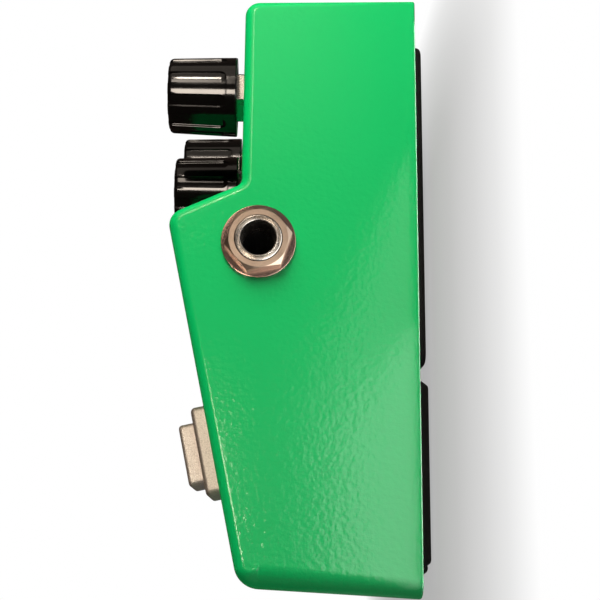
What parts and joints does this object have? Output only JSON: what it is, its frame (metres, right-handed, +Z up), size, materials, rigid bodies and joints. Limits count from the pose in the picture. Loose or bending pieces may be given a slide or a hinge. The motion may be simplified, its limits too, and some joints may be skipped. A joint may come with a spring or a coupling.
{
  "type": "guitar effects pedal",
  "caption": "Stepped wedge metal pedal with fluted knobs behind a ridge, a sprung rectangular footswitch on the slope, side jacks, rubber mat and hinged battery door.",
  "frame": {"origin": "on the floor plane under the pads, midway along the housing's length and width", "axes": "+X to the player's right (input jack side), +Y away from the player (rear wall), +Z up"},
  "size_m": [0.0768, 0.124, 0.0552],
  "materials": {
    "case_paint": "gloss green paint over die-cast metal",
    "knob_plastic": "gloss black",
    "mat_rubber": "matt black",
    "door_plastic": "satin black",
    "moulded_black": "satin black",
    "plate_steel": "zinc plated",
    "screw_steel": "zinc plated",
    "spring_steel": "bright drawn wire",
    "pot_metal": "pressed and plated",
    "shaft_metal": "turned",
    "nickel": "bright nickel plate",
    "switch_cast": "bead blasted, warm grey",
    "contact_brass": "plated spring strip",
    "circuit_board": "green solder resist",
    "lamp_red": "clear red",
    "capacitor_sleeve": "shrink sleeve",
    "battery_case": "plain printed can",
    "wire_red": "insulated wire",
    "wire_black": "insulated wire",
    "wire_white": "insulated wire",
    "plunger_white": "moulded"
  },
  "bodies": {
    "case": {"housing": "case_paint", "rear_mat": "mat_rubber", "battery_tray": "moulded_black", "battery_snap": "moulded_black", "input_jack_body": "moulded_black", "output_jack_body": "moulded_black", "dc_jack_body": "moulded_black", "led_bezel": "moulded_black", "push_switch": "moulded_black", "op_amp": "moulded_black", "base_plate": "plate_steel", "switch_bracket": "plate_steel", "base_screw_front_right": "screw_steel", "base_screw_front_left": "screw_steel", "base_screw_rear_right": "screw_steel", "base_screw_rear_left": "screw_steel", "board_screw_right": "screw_steel", "board_screw_left": "screw_steel", "frame_screw_right": "screw_steel", "frame_screw_left": "screw_steel", "hinge_pin": "screw_steel", "return_spring": "spring_steel", "level_pot": "pot_metal", "tone_pot": "pot_metal", "drive_pot": "pot_metal", "level_pot_nut": "nickel", "tone_pot_nut": "nickel", "drive_pot_nut": "nickel", "input_jack_sleeve": "nickel", "input_jack_washer": "nickel", "input_jack_nut": "nickel", "output_jack_sleeve": "nickel", "output_jack_washer": "nickel", "output_jack_nut": "nickel", "dc_jack_pin": "nickel", "footswitch_frame": "switch_cast", "main_board": "circuit_board", "switch_board": "circuit_board", "led_lamp": "lamp_red", "capacitor_left": "capacitor_sleeve", "capacitor_right": "capacitor_sleeve", "battery": "battery_case", "battery_lead_red": "wire_red", "battery_lead_black": "wire_black", "input_jack_lead": "wire_white", "output_jack_lead": "wire_white", "switch_lead": "wire_white"},
    "level_control": {"level_knob": "knob_plastic", "level_shaft": "shaft_metal"},
    "tone_control": {"tone_knob": "knob_plastic", "tone_shaft": "shaft_metal"},
    "drive_control": {"drive_knob": "knob_plastic", "drive_shaft": "shaft_metal"},
    "footswitch": {"footswitch_button": "switch_cast", "stem_clip": "screw_steel", "switch_plunger": "plunger_white"},
    "door": {"battery_door": "door_plastic", "door_pad": "mat_rubber"},
    "input_tip": {"input_tip_spring": "contact_brass"},
    "output_tip": {"output_tip_spring": "contact_brass"}
  },
  "joints": [
    {"name": "level_turn", "type": "hinge", "parent": "case", "child": "level_control", "pos_m": [0.0235, 0.04335, 0.0475], "axis": [0, 0, 1], "range_deg": [-150, 150]},
    {"name": "tone_turn", "type": "hinge", "parent": "case", "child": "tone_control", "pos_m": [0, 0.02935, 0.0475], "axis": [0, 0, 1], "range_deg": [-150, 150]},
    {"name": "drive_turn", "type": "hinge", "parent": "case", "child": "drive_control", "pos_m": [-0.0235, 0.04335, 0.0475], "axis": [0, 0, 1], "range_deg": [-150, 150]},
    {"name": "footswitch_press", "type": "slide", "parent": "case", "child": "footswitch", "axis": [0, 0.2147, -0.9767], "range_m": [0, 0.002], "stiffness_N_per_m": 600, "deforming": ["return_spring"]},
    {"name": "battery_door_open", "type": "hinge", "parent": "case", "child": "door", "pos_m": [0, -0.0563, 0.0016], "axis": [-1, 0, 0], "range_deg": [0, 105]},
    {"name": "input_tip_flex", "type": "hinge", "parent": "case", "child": "input_tip", "pos_m": [0.0275, 0.0072, 0.0413], "axis": [0, 1, 0], "range_deg": [0, 5], "stiffness_Nm_per_rad": 0.5},
    {"name": "output_tip_flex", "type": "hinge", "parent": "case", "child": "output_tip", "pos_m": [-0.0275, 0.0072, 0.0413], "axis": [0, -1, 0], "range_deg": [0, 5], "stiffness_Nm_per_rad": 0.5}
  ]
}
